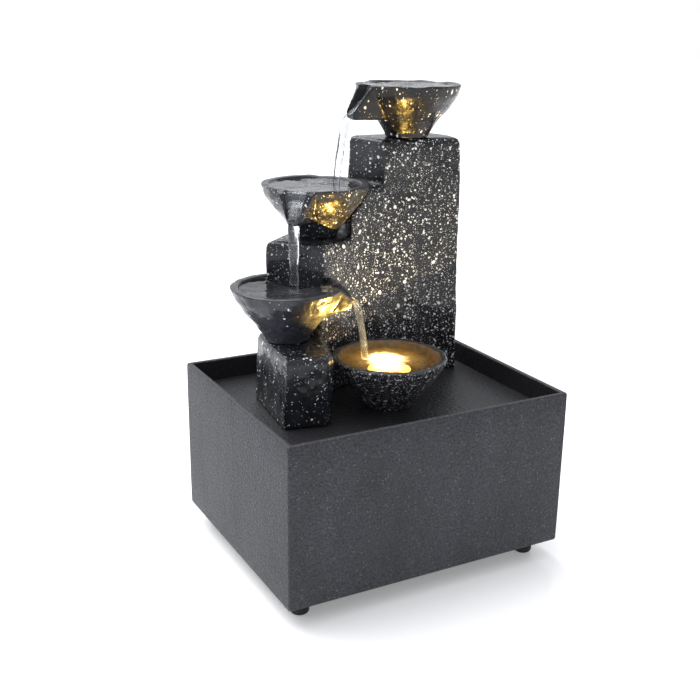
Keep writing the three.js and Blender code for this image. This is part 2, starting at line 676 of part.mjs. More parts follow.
function suctionCups() {
  const cup = [[0, 1.2], [4.8, 0], [6, 0], [4.4, 2], [2, 3.4], [0, 3.4]];
  const places = [[50, -11], [50, 11], [78, -11], [78, 11]];
  const cupAt = ([x, side]) => turned(cup, [x, PUMP.y + side, FLOOR + GAP], "z", 24);
  addEach("suction_cup", places, cupAt, RUBBER);
}

// ---- Leads ----
function pumpLead() {
  const inner = LEAD_RADIUS + 0.25;
  const start = PUMP.top - 2;
  const outside = [[inner, 0], [RELIEF_RADIUS, 0], [RELIEF_RADIUS, 4], [LEAD_RADIUS + 0.9, 14]];
  const relief = [...outside, [inner, 14], [inner, 0]];
  add("pump_strain_relief", turned(relief, [PUMP_LEAD_X, PUMP.y, start - GAP], "z", 20), RUBBER);
  const end = INLET.x + LEAD_SPACING;
  const route = [
    [PUMP_LEAD_X, PUMP.y, start],
    [PUMP_LEAD_X, PUMP.y, PUMP.top + 22],
    [60, 53, DECK_BOTTOM - 1],
    [60, 53, DECK_TOP + 21],
    [end, LEADS_END - 4, INLET.z],
    [end, LEADS_END, INLET.z],
  ];
  add("pump_lead", lead(route), CABLE);
}

// The lamp's lead runs down through the deck, along its underside in two clips, and up into the tower.
function lampLead() {
  const low = DECK_BOTTOM - 5;
  const turnUp = [41, 47];
  const end = INLET.x - LEAD_SPACING;
  const route = [
    [LAMP.x, LAMP.y, LAMP_FLOOR + 2.4],
    [LAMP.x, LAMP.y, low],
    [...turnUp, low],
    [42, 56, DECK_TOP + 15],
    [end, LEADS_END - 4, INLET.z],
    [end, LEADS_END, INLET.z],
  ];
  add("led_lead", lead(route, 5), CABLE);
  const heading = Math.atan2(turnUp[1] - LAMP.y, turnUp[0] - LAMP.x);
  const high = DECK_BOTTOM - GAP;
  const grooveHalf = LEAD_RADIUS + 0.5;
  const clipAt = (reach) => {
    const body = solid(block([-2.5, -4.5, low - RELIEF_RADIUS], [2.5, 4.5, high]));
    const groove = block([-4, -grooveHalf, low - LEAD_RADIUS - 0.4], [4, grooveHalf, high - 1.5]);
    const clip = geometryOf(cut(body, groove));
    const x = LAMP.x + reach * Math.cos(heading);
    const y = LAMP.y + reach * Math.sin(heading);
    return clip.rotateZ(heading).translate(x, y, 0);
  };
  addEach("lead_clip", [24, 46], clipAt, COVER_PLASTIC);
}

tank();
feet();
deck();
tower();
rearCover();
powerInlet();
bowls();
lampBowl();
waterWay();
pumpHousing();
pumpMotor();
rotor();
pumpCover();
suctionCups();
pumpLead();
lampLead();

export default fountain;
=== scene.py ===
import json
import math

import bmesh
import bpy
from mathutils import Matrix, Vector, noise


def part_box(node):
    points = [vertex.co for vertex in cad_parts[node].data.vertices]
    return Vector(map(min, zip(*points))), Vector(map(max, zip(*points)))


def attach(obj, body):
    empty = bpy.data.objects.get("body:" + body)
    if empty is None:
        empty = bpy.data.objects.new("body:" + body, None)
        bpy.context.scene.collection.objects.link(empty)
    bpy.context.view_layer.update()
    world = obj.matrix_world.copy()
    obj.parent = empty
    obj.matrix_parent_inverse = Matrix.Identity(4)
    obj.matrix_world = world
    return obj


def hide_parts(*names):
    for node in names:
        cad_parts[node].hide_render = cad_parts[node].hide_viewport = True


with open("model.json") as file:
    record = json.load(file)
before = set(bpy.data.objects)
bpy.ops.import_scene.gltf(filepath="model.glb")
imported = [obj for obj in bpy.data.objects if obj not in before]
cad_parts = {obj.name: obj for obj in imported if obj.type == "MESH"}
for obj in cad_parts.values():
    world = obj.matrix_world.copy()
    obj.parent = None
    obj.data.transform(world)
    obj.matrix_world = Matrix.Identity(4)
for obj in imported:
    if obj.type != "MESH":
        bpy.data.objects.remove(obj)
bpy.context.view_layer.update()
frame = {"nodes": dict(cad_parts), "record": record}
scene = bpy.context.scene
nodes = frame["nodes"]
MM = 0.001
DECK = "deck_and_tower"
TANK = "tank"


def top_of(node):
    """The height of a CAD node's top, in millimetres."""
    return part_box(node)[1].z / MM


def foot_of(node):
    """The height of a CAD node's lowest point, in millimetres."""
    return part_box(node)[0].z / MM


# ---- Driving dimensions, in millimetres ----
# Each tower bowl's axis, its spout's heading in degrees, reach and tip height over the foot, half the width
# of the notch in its rim, how wide the stream is at the tip, where it lands in the next bowl, the water's
# height over the foot, its shares of fine, middle and coarse specks, and how black and glossy its lacquer is.
# The bowls share one lacquer. The third bowl's lower depth makes it greyer, and that grey is partly a painted
# sheen that stands in for the light it catches.
BOWLS = {
    "top_bowl": dict(x=50.5, y=46, heading=185, reach=47, tip=14, notch=7.5, stream=7.6, lands=(-2, 49),
                     water=34.2, specks=(0.2, 0.16, 0.25), depth=2.4, gloss=0.12),
    "second_bowl": dict(x=-19, y=46, heading=223, reach=41, tip=15, notch=11, stream=7.8, lands=(-47, 20),
                        water=33.6, specks=(0.4, 0.16, 0.06), depth=1.5, gloss=0.3),
    "third_bowl": dict(x=-56, y=12, heading=335, reach=43, tip=23, notch=8.5, stream=8.4, lands=(-4, 1),
                       water=33.0, specks=(0.05, 0.02, 0.0), depth=0.65, gloss=0.35),
}
BOWL_WATER_RADIUS = 31.5
NOTCH_OUT, NOTCH_UP = 31.5, 28.5  # where a spout's channel leaves its bowl: from the axis, and over the foot
# The lamp bowl's axis, its water's height over the foot and radius, and the middle of the painted glow on
# that water, which stands in for the lamp's light coming up through it.
LAMP = dict(x=4.5, y=-16, water=27.5, radius=32.0, glow=(7.6, -6))

TANK_WALL = 4
POST_SIZE = 10.9  # the corner posts that the deck rests on, on each side
WALL_START = -29  # the x of the corner where the tower's hollow wall begins

# Each hewn surface is rippled by waves of (size, depth).
TOWER_WAVES = ((30, 0.9), (12, 0.5), (5, 0.16))
BOWL_WAVES = ((17, 0.9), (7, 0.4), (3, 0.12))
LAMP_BOWL_WAVES = ((17, 1.0), (7, 0.45), (3, 0.2))

LAMP_CONE = 118  # degrees, the lamp's beam from side to side
LAMP_SIZE = 3  # the radius of what shines in the lamp
WALL_LIGHT = (0.8, (1.0, 0.82, 0.48))  # watts and colour of the lamp's light on all but the tower bowls
BOWL_LIGHT = (2.8, (1.0, 0.6, 0.12))  # the same on those, which also catch the golden lamp bowl's light
STUDIO_DIM, STUDIO_BRIGHT = 0.38, 1.1  # the light from in front, and from behind
SKY_STRENGTH = 2.6
SKY_FROM = (-0.35, 0.6, 1.3)
SKY_SPREAD = 55  # degrees
BRIGHT_SIDE = (-0.38, 0.68, 0.62)  # where the studio's bright side is

# The camera's angles in degrees, and its distance from the point it aims at. That point is set off from
# CAMERA_AIM, which is on the tank's middle axis, by aim_right and aim_up.
CAMERA = dict(azimuth=-28.629, elevation=18.071, roll=0.816, distance=714.4, aim_right=-14.2, aim_up=61.8)
CAMERA_AIM = Vector((0, 0, 60 + foot_of("tank")))
FOCAL = 53.75  # on a 36 mm sensor


# ---- Camera ----
def make_camera():
    """The camera looks from the front left and a little down, and leans slightly."""
    azimuth = math.radians(CAMERA["azimuth"])
    elevation = math.radians(CAMERA["elevation"])
    roll = math.radians(CAMERA["roll"])
    level = math.cos(elevation)
    back = Vector((math.sin(azimuth) * level, -math.cos(azimuth) * level, math.sin(elevation)))
    right = Vector((0, 0, 1)).cross(back).normalized()
    up = back.cross(right)
    aim = CAMERA_AIM + right * CAMERA["aim_right"] + up * CAMERA["aim_up"]
    data = bpy.data.cameras.new("camera")
    data.sensor_width = 36
    data.lens = FOCAL
    data.clip_start = 0.01
    camera = bpy.data.objects.new("camera", data)
    scene.collection.objects.link(camera)
    side = right * math.cos(roll) + up * math.sin(roll)
    top = up * math.cos(roll) - right * math.sin(roll)
    place = (aim + back * CAMERA["distance"]) * MM
    camera.matrix_world = Matrix([[side[i], top[i], back[i], place[i]] for i in range(3)] + [[0, 0, 0, 1]])
    scene.camera = camera


# ---- Materials ----
class Paint:
    """One material's node tree round a Principled shader. Patterns lie in the object's own metres."""

    def __init__(self, name, **values):
        self.material = bpy.data.materials.new(name)
        self.material.use_nodes = True
        self.tree = self.material.node_tree
        self.shader = self.tree.nodes["Principled BSDF"]
        self.place = self.tree.nodes.new("ShaderNodeTexCoord").outputs["Object"]
        self.set(**values)

    def set(self, **values):
        for key, value in values.items():
            self.feed(self.shader.inputs[key.replace("_", " ")], value)
        return self

    def feed(self, socket, value):
        if isinstance(value, bpy.types.NodeSocket):
            self.tree.links.new(value, socket)
        elif isinstance(value, tuple) and len(value) == 3 and socket.type == "RGBA":
            socket.default_value = (*value, 1)
        else:
            socket.default_value = value

    def node(self, kind, inputs, output=0, **settings):
        made = self.tree.nodes.new("ShaderNode" + kind)
        for key, value in settings.items():
            setattr(made, key, value)
        for key, value in inputs.items():
            self.feed(made.inputs[key], value)
        return made.outputs[output]

    def math(self, operation, a, b=0.0):
        return self.node("Math", {0: a, 1: b}, operation=operation)

    def stretched(self, x, y, z):
        return self.node("Mapping", {"Vector": self.place, "Scale": (x, y, z)})

    def noise(self, size, detail=3.0, vector=None, output="Fac"):
        """Cloudy noise with features about size millimetres across."""
        inputs = {"Vector": vector or self.place, "Scale": 1000 / size, "Detail": detail}
        return self.node("TexNoise", inputs, output=output)

    def cells(self, size, output="Distance", vector=None):
        """Distance from the middle of cells about size millimetres across, or their colour."""
        inputs = {"Vector": vector or self.place, "Scale": 1000 / size}
        return self.node("TexVoronoi", inputs, output=output)

    def range(self, value, low, high, to_low=0.0, to_high=1.0):
        keys = {"Value": value, "From Min": low, "From Max": high, "To Min": to_low, "To Max": to_high}
        return self.node("MapRange", keys)

    def mix(self, share, a, b):
        made = self.tree.nodes.new("ShaderNodeMix")
        made.data_type = "RGBA"
        for index, value in ((0, share), (6, a), (7, b)):
            self.feed(made.inputs[index], value)
        return made.outputs[2]

    def shifted(self, place, size, detail, reach):
        """The place, pushed about by clouds of size millimetres, by up to half of reach in metres."""
        push = self.node("VectorMath", {0: self.noise(size, detail, output="Color"), 1: (0.5, 0.5, 0.5)},
                         operation="SUBTRACT")
        push = self.node("VectorMath", {0: push, "Scale": reach}, operation="SCALE")
        return self.node("VectorMath", {0: place, 1: push}, operation="ADD")

    def bump(self, *layers):
        """Layers of (height, depth in millimetres), each on top of the one before."""
        normal = None
        for height, depth in layers:
            inputs = {"Height": height, "Distance": depth * MM}
            if normal:
                inputs["Normal"] = normal
            normal = self.node("Bump", inputs)
        return self.set(Normal=normal)


def specks(paint, cell, share, size, stretch=(1, 1, 1)):
    """A mask of paint specks up to size millimetres wide. Of the cells, this share hold one."""
    vector = paint.shifted(paint.stretched(*stretch), cell * 0.8, 2, 0.45 * cell * MM)
    distance = paint.cells(cell, vector=vector)
    cell_colour = paint.cells(cell, "Color", vector=vector)
    chance = paint.node("SeparateColor", {0: cell_colour}, output=0)
    growth = paint.node("SeparateColor", {0: cell_colour}, output=1)
    # Most specks stay small, and only a few grow to their full size.
    reach = paint.math("POWER", growth, 2.2)
    reach = paint.math("MULTIPLY_ADD", reach, 0.42 * size / cell)
    reach.node.inputs[2].default_value = 0.13 * size / cell
    inside = paint.range(paint.math("SUBTRACT", reach, distance), 0, 0.05)
    return paint.math("MULTIPLY", inside, paint.math("LESS_THAN", chance, share))


def stone_paint(name, shares, stretch=(1, 1, 1), gloss=0.35, wrinkle=0.25, depth=1.0):
    """Black lacquer over hewn resin, flicked with paint. shares: of fine, middle and coarse specks.
    wrinkle: how deep its small ripples are. depth: how black it is, less than 1 for a greyer one."""
    paint = Paint(name, Coat_Weight=gloss, Coat_Roughness=0.1, Coat_IOR=1.5, Specular_IOR_Level=0.3)
    fine = specks(paint, 0.95, shares[0], 0.8, stretch)
    middle = specks(paint, 2.0, shares[1], 1.7, stretch)
    coarse = specks(paint, 5.0, shares[2], 3.0, stretch)
    bold = paint.math("MAXIMUM", middle, coarse)
    cloud = paint.noise(14, 4)
    dark = tuple(value / depth for value in (0.010, 0.0105, 0.014))
    light = tuple(value / depth for value in (0.026, 0.0275, 0.035))
    ground = paint.mix(paint.range(cloud, 0.35, 0.7), dark, light)
    dust = paint.mix(paint.range(paint.noise(1.6, 2), 0.35, 0.65), (0.17, 0.17, 0.18), (0.95, 0.95, 0.97))
    dusted = paint.mix(fine, ground, dust)
    pale = paint.mix(paint.noise(5, 2), (0.6, 0.6, 0.62), (0.98, 0.98, 0.98))
    paint.set(Base_Color=paint.mix(bold, dusted, pale))
    paint.set(Roughness=paint.range(paint.noise(6, 4), 0.3, 0.7, 0.22, 0.44))
    paint.bump((paint.noise(11, 3), 0.3), (paint.noise(3.2, 3), wrinkle), (bold, 0.07))
    return paint.material


def rim_paint(name, glowing=False):
    """The bowls' rims and insides: the same lacquer, greyer and smoother, almost without specks. The lamp
    bowl's lining also gets a painted glow: an orange emission that stands in for the lamp's light on it.
    """
    shine = 0.1 if glowing else 0.4
    paint = Paint(name, Coat_Weight=0.6 * shine, Coat_Roughness=0.15, Specular_IOR_Level=shine)
    mask = specks(paint, 2.6, 0.05, 1.4)
    cloud = paint.range(paint.noise(9, 4), 0.3, 0.7)
    ground = paint.mix(cloud, (0.022, 0.022, 0.025), (0.05, 0.05, 0.055))
    paint.set(Base_Color=paint.mix(mask, ground, (0.55, 0.55, 0.55)))
    paint.set(Roughness=paint.range(paint.noise(5, 4), 0.3, 0.7, 0.24, 0.45))
    # Painted glow: this emission stands in for the lamp's light falling on the lining, which is no lamp.
    if glowing:
        paint.set(Emission_Color=paint.mix(cloud, (1.0, 0.42, 0.04), (1.0, 0.5, 0.08)))
        paint.set(Emission_Strength=paint.range(paint.noise(4, 4), 0.3, 0.7, 0.04, 0.13))
    paint.bump((paint.noise(8, 3), 0.5), (paint.noise(2, 3), 0.1))
    return paint.material


def tank_paint():
    """Charcoal resin with a pebbled grain, faint upright clouds and a few pale grains."""
    paint = Paint("tank_grain", Specular_IOR_Level=0.3)
    cloud = paint.noise(22, 4, vector=paint.stretched(1, 1, 0.35))
    grain = paint.noise(1.3, 5)
    pebble = paint.cells(1.9)
    ground = paint.mix(paint.range(cloud, 0.3, 0.7), (0.042, 0.042, 0.049), (0.060, 0.061, 0.071))
    ground = paint.mix(paint.range(grain, 0.42, 0.62, 0, 0.75), ground, (0.018, 0.018, 0.022))
    flecks = specks(paint, 1.8, 0.4, 0.95)
    paint.set(Base_Color=paint.mix(paint.math("MULTIPLY", flecks, 0.35), ground, (0.3, 0.3, 0.33)))
    paint.set(Roughness=paint.range(grain, 0.3, 0.7, 0.42, 0.62))
    hide = paint.noise(8, 3, vector=paint.stretched(1, 1, 0.45))
    paint.bump((cloud, 0.3), (hide, 0.45), (pebble, 0.3), (grain, 0.3))
    return paint.material


def tray_paint(name, dark, light):
    """The deck and the walls round it: near black, satin, with a fine leathery grain."""
    paint = Paint(name, Specular_IOR_Level=0.35)
    pads = paint.cells(2.3)
    grain = paint.noise(1.3, 4)
    cloud = paint.noise(30, 3)
    paint.set(Base_Color=paint.mix(cloud, dark, light))
    paint.set(Roughness=paint.range(grain, 0.3, 0.7, 0.3, 0.48))
    paint.bump((pads, 0.3), (grain, 0.25))
    return paint.material


def moulded(name, dark, light, roughness, grain=0.5, depth=0.03):
    """Moulded plastic or rubber: a fine spark texture and slight clouds of colour."""
    paint = Paint(name)
    cloud = paint.noise(12, 3)
    texture = paint.noise(grain, 3)
    paint.set(Base_Color=paint.mix(cloud, dark, light))
    paint.set(Roughness=paint.range(texture, 0.3, 0.7, roughness - 0.08, roughness + 0.08))
    paint.bump((texture, depth))
    return paint.material


def metal(name, colour, worn, roughness, brushed):
    """Bright metal, drawn or brushed along z where brushed is small."""
    paint = Paint(name, Metallic=1.0)
    lines = paint.noise(1.2, 3, vector=paint.stretched(1, 1, brushed))
    paint.set(Base_Color=paint.mix(paint.noise(6, 3), colour, worn))
    paint.set(Roughness=paint.range(lines, 0.3, 0.7, roughness - 0.1, roughness + 0.12))
    paint.bump((lines, 0.02))
    return paint.material


def winding():
    """Enamelled copper wire, in close turns."""
    paint = Paint("copper_winding", Metallic=0.9)
    turns = paint.node("TexWave", {"Vector": paint.place, "Scale": 550.0, "Distortion": 0.3},
                       bands_direction="X")
    paint.set(Base_Color=paint.mix(turns, (0.28, 0.09, 0.03), (0.75, 0.32, 0.12)), Roughness=0.32)
    paint.bump((turns, 0.25))
    return paint.material


def foam():
    """Open-cell filter foam."""
    paint = Paint("filter_foam", Roughness=0.95)
    pores = paint.cells(0.9)
    paint.set(Base_Color=paint.mix(paint.range(pores, 0.1, 0.5), (0.006, 0.006, 0.007), (0.035, 0.036, 0.04)))
    paint.bump((pores, 0.5))
    return paint.material


def vinyl():
    """Clear soft tube, a little milky, with faint draw lines."""
    paint = Paint("clear_vinyl", Transmission_Weight=0.75, IOR=1.4)
    lines = paint.noise(2, 3, vector=paint.stretched(1, 1, 0.05))
    paint.set(Base_Color=paint.mix(lines, (0.78, 0.83, 0.84), (0.9, 0.93, 0.93)))
    paint.set(Roughness=paint.range(lines, 0.3, 0.7, 0.1, 0.25))
    paint.bump((lines, 0.04))
    return paint.material


def board():
    """Green solder mask with fine tracks under it."""
    paint = Paint("solder_mask", Coat_Weight=0.4)
    tracks = paint.node("TexBrick", {"Vector": paint.place, "Scale": 260.0, "Mortar Size": 0.03})
    paint.set(Base_Color=paint.mix(tracks, (0.01, 0.09, 0.03), (0.02, 0.16, 0.05)), Roughness=0.35)
    paint.bump((tracks, 0.05))
    return paint.material


def lens():
    """The lamp's domed lens, lit from below: hot in its middle, yellower to its edge."""
    paint = Paint("lit_lens", Roughness=0.15)
    middle = (LAMP["x"] * MM, LAMP["y"] * MM, foot_of("led_lens") * MM)
    away = paint.node("VectorMath", {0: paint.place, 1: middle}, output="Value", operation="DISTANCE")
    edge = paint.range(away, 0.003, 0.0145)
    ripple = paint.noise(3, 3)
    paint.set(Base_Color=paint.mix(edge, (1.0, 0.95, 0.75), (0.9, 0.7, 0.3)))
    paint.set(Emission_Color=paint.mix(edge, (1.0, 0.7, 0.25), (1.0, 0.5, 0.08)))
    paint.set(Emission_Strength=paint.range(edge, 0, 1, 7.0, 2.0))
    paint.bump((ripple, 0.1))
    return paint.material


def water(name, size, depth, stretch=1.0, milky=0.0, glow=0.0):
    """Water stirred by ripples about size millimetres across. milky: how far air bubbles whiten it, from 0 to
    1. glow: a painted glow, an emission that stands in for the lamp's light caught in the water."""
    paint = Paint(name, Base_Color=(0.94, 0.96, 1.0), Transmission_Weight=1.0 - milky, IOR=1.333)
    ripple = paint.noise(size, 2, vector=paint.stretched(1, 1, stretch))
    paint.set(Roughness=paint.range(paint.noise(size * 2, 2), 0.3, 0.7, 0.0, 0.06))
    # Painted glow: the water is no lamp, and this emission stands in for the lamp's light in it.
    if glow:
        paint.set(Emission_Color=paint.mix(ripple, (1.0, 0.55, 0.1), (1.0, 0.85, 0.5)))
        paint.set(Emission_Strength=paint.range(ripple, 0.4, 0.7, 0.0, glow))
    paint.bump((ripple, depth))
    return paint.material


def painted_glow_water(level):
    """The water over the lamp, with a painted glow: an emission that stands in for the lamp's light coming up
    through it, white hot over the lens with a ragged edge, then gold to the bowl's wall.
    """
    # Its yellow tint is painted lamplight too, not the water's own colour.
    paint = Paint("painted_glow_water", Base_Color=(1.0, 0.85, 0.55), Transmission_Weight=1.0, IOR=1.333,
                  Roughness=0.02, Specular_IOR_Level=0.15)
    ripple = paint.noise(5, 3)
    place = paint.shifted(paint.place, 6, 3, 11 * MM)
    centre = (LAMP["glow"][0] * MM, LAMP["glow"][1] * MM, level * MM)
    # The painted glow's mask: a hot core over the lens and a wider halo, by distance from its middle.
    away = paint.node("VectorMath", {0: place, 1: centre}, output="Value", operation="DISTANCE")
    core = paint.range(away, 0.0165, 0.008)
    halo = paint.range(away, 0.031, 0.009)
    paint.set(Emission_Color=paint.mix(core, (1.0, 0.5, 0.06), (1.0, 0.88, 0.5)))
    halo = paint.math("MULTIPLY", paint.math("POWER", halo, 2.0), 0.55)
    hot = paint.math("MULTIPLY", paint.math("POWER", core, 2.0), 5.0)
    paint.set(Emission_Strength=paint.math("ADD", halo, hot))
    paint.bump((ripple, 0.25))
    return paint.material


def white_floor():
    """The studio floor: white, with a soft sheen that holds a faint reflection."""
    paint = Paint("studio_floor", Specular_IOR_Level=0.5, Emission_Color=(1, 1, 1), Emission_Strength=0.22)
    cloud = paint.noise(400, 2)
    paint.set(Base_Color=paint.mix(cloud, (0.93, 0.93, 0.935), (0.94, 0.94, 0.945)))
    paint.set(Roughness=paint.range(cloud, 0.3, 0.7, 0.14, 0.2))
    return paint.material


# ---- Mesh helpers ----
def add_object(name, mesh, body, material):
    piece = bpy.data.objects.new(name, mesh)
    scene.collection.objects.link(piece)
    piece.data.materials.clear()
    for each in material if isinstance(material, list) else [material]:
        piece.data.materials.append(each)
    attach(piece, body)
    return piece


def mesh_of(name, vertices, faces):
    mesh = bpy.data.meshes.new(name)
    mesh.from_pydata([tuple(Vector(v) * MM) for v in vertices], [], faces)
    mesh.update()
    mesh.shade_smooth()
    return mesh


def loft(name, loops):
    """A closed surface through loops that all have the same number of points, capped at both ends."""
    count = len(loops[0])
    vertices = [v for loop in loops for v in loop]
    faces = []
    for row in range(len(loops) - 1):
        for i in range(count):
            j = (i + 1) % count
            low, high = row * count, (row + 1) * count
            faces.append((low + i, low + j, high + j, high + i))
    faces.append(tuple(reversed(range(count))))
    faces.append(tuple(range(len(vertices) - count, len(vertices))))
    return mesh_of(name, vertices, faces)


def turned(profile, x, y, segments=72):
    """Loops of a profile of (radius, height) round an upright axis."""
    angles = [2 * math.pi * i / segments for i in range(segments)]
    return [[(x + r * math.cos(a), y + r * math.sin(a), z) for a in angles] for r, z in profile]


def rounded_rectangle(half_x, half_y, radius, z, steps=6):
    loop = []
    for sx, sy, start in ((1, 1, 0), (-1, 1, 90), (-1, -1, 180), (1, -1, 270)):
        for step in range(steps + 1):
            a = math.radians(start + 90 * step / steps)
            x = sx * (half_x - radius) + radius * math.cos(a)
            y = sy * (half_y - radius) + radius * math.sin(a)
            loop.append((x, y, z))
    return loop


def worn_copy(node, voxel, passes):
    """A fine copy of a CAD node, in millimetres, with its edges worn round."""
    mesh = nodes[node].data.copy()
    work = bmesh.new()
    work.from_mesh(mesh)
    bmesh.ops.remove_doubles(work, verts=work.verts, dist=1e-6)
    work.to_mesh(mesh)
    work.free()
    piece = bpy.data.objects.new(node + "_worn", mesh)
    scene.collection.objects.link(piece)
    remesh = piece.modifiers.new("remesh", "REMESH")
    remesh.mode = "VOXEL"
    remesh.voxel_size = voxel * MM
    smooth = piece.modifiers.new("smooth", "SMOOTH")
    smooth.iterations = passes
    bpy.context.view_layer.update()
    fine = bpy.data.meshes.new_from_object(piece.evaluated_get(bpy.context.evaluated_depsgraph_get()))
    bpy.data.objects.remove(piece)
    fine.shade_smooth()
    return fine


def ripple_faces(mesh, waves, free):
    """Moves the surface in and out by waves of (size, depth). free(point, normal) is from 0, held, to 1."""
    mesh.update()
    normals = [v.normal.copy() for v in mesh.vertices]
    for vertex, normal in zip(mesh.vertices, normals):
        point = vertex.co / MM
        share = free(point, normal)
        if share <= 0:
            continue
        move = sum(depth * noise.noise(point / size + Vector((size, 0, 0))) for size, depth in waves)
        vertex.co += normal * move * share * MM
    mesh.update()


def ramp(value, low, high):
    share = min(1.0, max(0.0, (value - low) / (high - low)))
    return share * share * (3 - 2 * share)


# ---- Tank ----
def make_tank(grain, inside):
    low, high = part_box("tank")
    half_x, half_y = high.x / MM, high.y / MM
    bottom, rim = low.z / MM, high.z / MM
    floor = bottom + TANK_WALL
    profile = [
        (1.6, bottom), (0.5, bottom + 0.4), (0.1, bottom + 1.5),
        (0, bottom + 20), (0, rim - 20),
        (0.1, rim - 1.2), (0.45, rim - 0.3), (1.1, rim),
        (TANK_WALL - 1.1, rim), (TANK_WALL - 0.4, rim - 0.3), (TANK_WALL, rim - 1.2),
        (TANK_WALL, floor + 1), (TANK_WALL + 1, floor),
    ]
    loops = [rounded_rectangle(half_x - inset, half_y - inset, max(0.4, 1.6 - 0.3 * inset), z)
             for inset, z in profile]
    tank = add_object("tank_shell", loft("tank_shell", loops), TANK, [grain, inside])
    for face in tank.data.polygons:
        point = face.center / MM
        face.material_index = int(max(abs(point.x) - half_x, abs(point.y) - half_y) < 0.4 - TANK_WALL)
    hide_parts("tank")
    mark_sharp(tank, 50)
    make_posts(grain)


def make_posts(grain):
    """The corner posts that the deck rests on."""
    low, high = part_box("tank")
    inner_x, inner_y = high.x / MM - TANK_WALL, high.y / MM - TANK_WALL
    half = POST_SIZE / 2
    top = foot_of("deck_tray") - 0.3
    bottom = low.z / MM + 3.6
    for sx, side in ((-1, "left"), (1, "right")):
        for sy, end in ((-1, "front"), (1, "back")):
            centre = Vector((sx * (inner_x - half + 0.3), sy * (inner_y - half + 0.3), 0))
            levels = [(0, bottom), (0, top - 0.8), (0.3, top - 0.2), (1, top)]
            loops = []
            for inset, z in levels:
                loop = rounded_rectangle(half - inset, half - inset, 1.2, z, 3)
                loops.append([tuple(Vector(p) + centre) for p in loop])
            name = f"deck_post_{end}_{side}"
            add_object(name, loft(name, loops), TANK, grain)


def mark_sharp(piece, degrees):
    piece.data.set_sharp_from_angle(angle=math.radians(degrees))


def make_feet(rubber):
    for node in [n for n in nodes if n.startswith("foot_")]:
        low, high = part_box(node)
        x, y = (low.x + high.x) / 2 / MM, (low.y + high.y) / 2 / MM
        radius, top = (high.x - low.x) / 2 / MM, high.z / MM
        profile = [(radius - 2.6, 0), (radius - 1.4, 0.25), (radius - 0.5, 0.95), (radius - 0.1, 1.9),
                   (radius, 3), (radius - 0.05, top - 0.8), (radius - 0.5, top)]
        name = node + "_rubber"
        foot = add_object(name, loft(name, turned(profile, x, y)), TANK, rubber)
        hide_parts(node)


# ---- Tower and bowls ----
def make_tower(wall, column):
    """The hewn tower. Its base, its back and the places where the bowls stand keep their shape."""
    base = foot_of("tower")
    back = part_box("tower")[1].y / MM
    feet = [(BOWLS[b]["x"], BOWLS[b]["y"], foot_of(b)) for b in BOWLS]

    def free(point, normal):
        share = ramp(point.z, base + 0.5, base + 4) * ramp(back - point.y, 0.5, 5)
        if normal.z > 0.7:
            share *= 0.35
        for x, y, z in feet:
            near = math.hypot(point.x - x, point.y - y)
            if abs(point.z - z) < 4:
                share *= ramp(near, 16, 20)
        return share

    mesh = worn_copy("tower", 1.0, 3)
    ripple_faces(mesh, TOWER_WAVES, free)
    tower = add_object("tower_casting", mesh, DECK, [wall, column])
    for face in mesh.polygons:
        hollow_wall = face.normal.y < -0.55 and face.center.x / MM > WALL_START and face.normal.x > -0.5
        face.material_index = 0 if hollow_wall else 1
    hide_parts("tower")


def make_bowls(rim_lacquer):
    for node, bowl in BOWLS.items():
        foot = foot_of(node)

        def free(point, normal):
            return ramp(point.z, foot + 0.3, foot + 4)

        # A bowl's depth sets how black its lacquer is. The third bowl's greyness is partly painted sheen.
        finish = dict(stretch=(1, 1, 0.7), gloss=bowl["gloss"], wrinkle=0.45, depth=bowl["depth"])
        lacquer = stone_paint(node + "_lacquer", bowl["specks"], **finish)
        mesh = worn_copy(node, 0.8, 8)
        ripple_faces(mesh, BOWL_WAVES, free)
        piece = add_object(node + "_casting", mesh, DECK, [lacquer, rim_lacquer])
        line_inside(mesh, bowl["x"], bowl["y"], foot, top_of(node), 1)
        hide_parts(node)


def line_inside(mesh, x, y, foot, rim, lining):
    """Gives the second material to the flat of the rim, and the lining's to the faces that look inwards."""
    for face in mesh.polygons:
        point = face.center / MM
        away = Vector((point.x - x, point.y - y, 0))
        if face.normal.z > 0.6 and point.z > rim - 3:
            face.material_index = 1
        elif face.normal.dot(away) < 0 and point.z > foot + 7:
            face.material_index = lining


def make_lamp_bowl(rim_lacquer):
    foot = foot_of("lamp_bowl")
    lacquer = stone_paint("lamp_bowl_lacquer", (1.0, 0.95, 0.45), (1, 1, 1.6))
    # The lamp bowl's lining carries a painted glow that stands in for the lamp's light on it.
    lining = rim_paint("painted_glow_lining", glowing=True)
    mesh = worn_copy("lamp_bowl", 0.8, 4)
    ripple_faces(mesh, LAMP_BOWL_WAVES, lambda point, normal: ramp(point.z, foot + 1, foot + 5))
    piece = add_object("lamp_bowl_casting", mesh, DECK, [lacquer, rim_lacquer, lining])
    line_inside(mesh, LAMP["x"], LAMP["y"], foot, top_of("lamp_bowl"), 2)
    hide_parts("lamp_bowl")


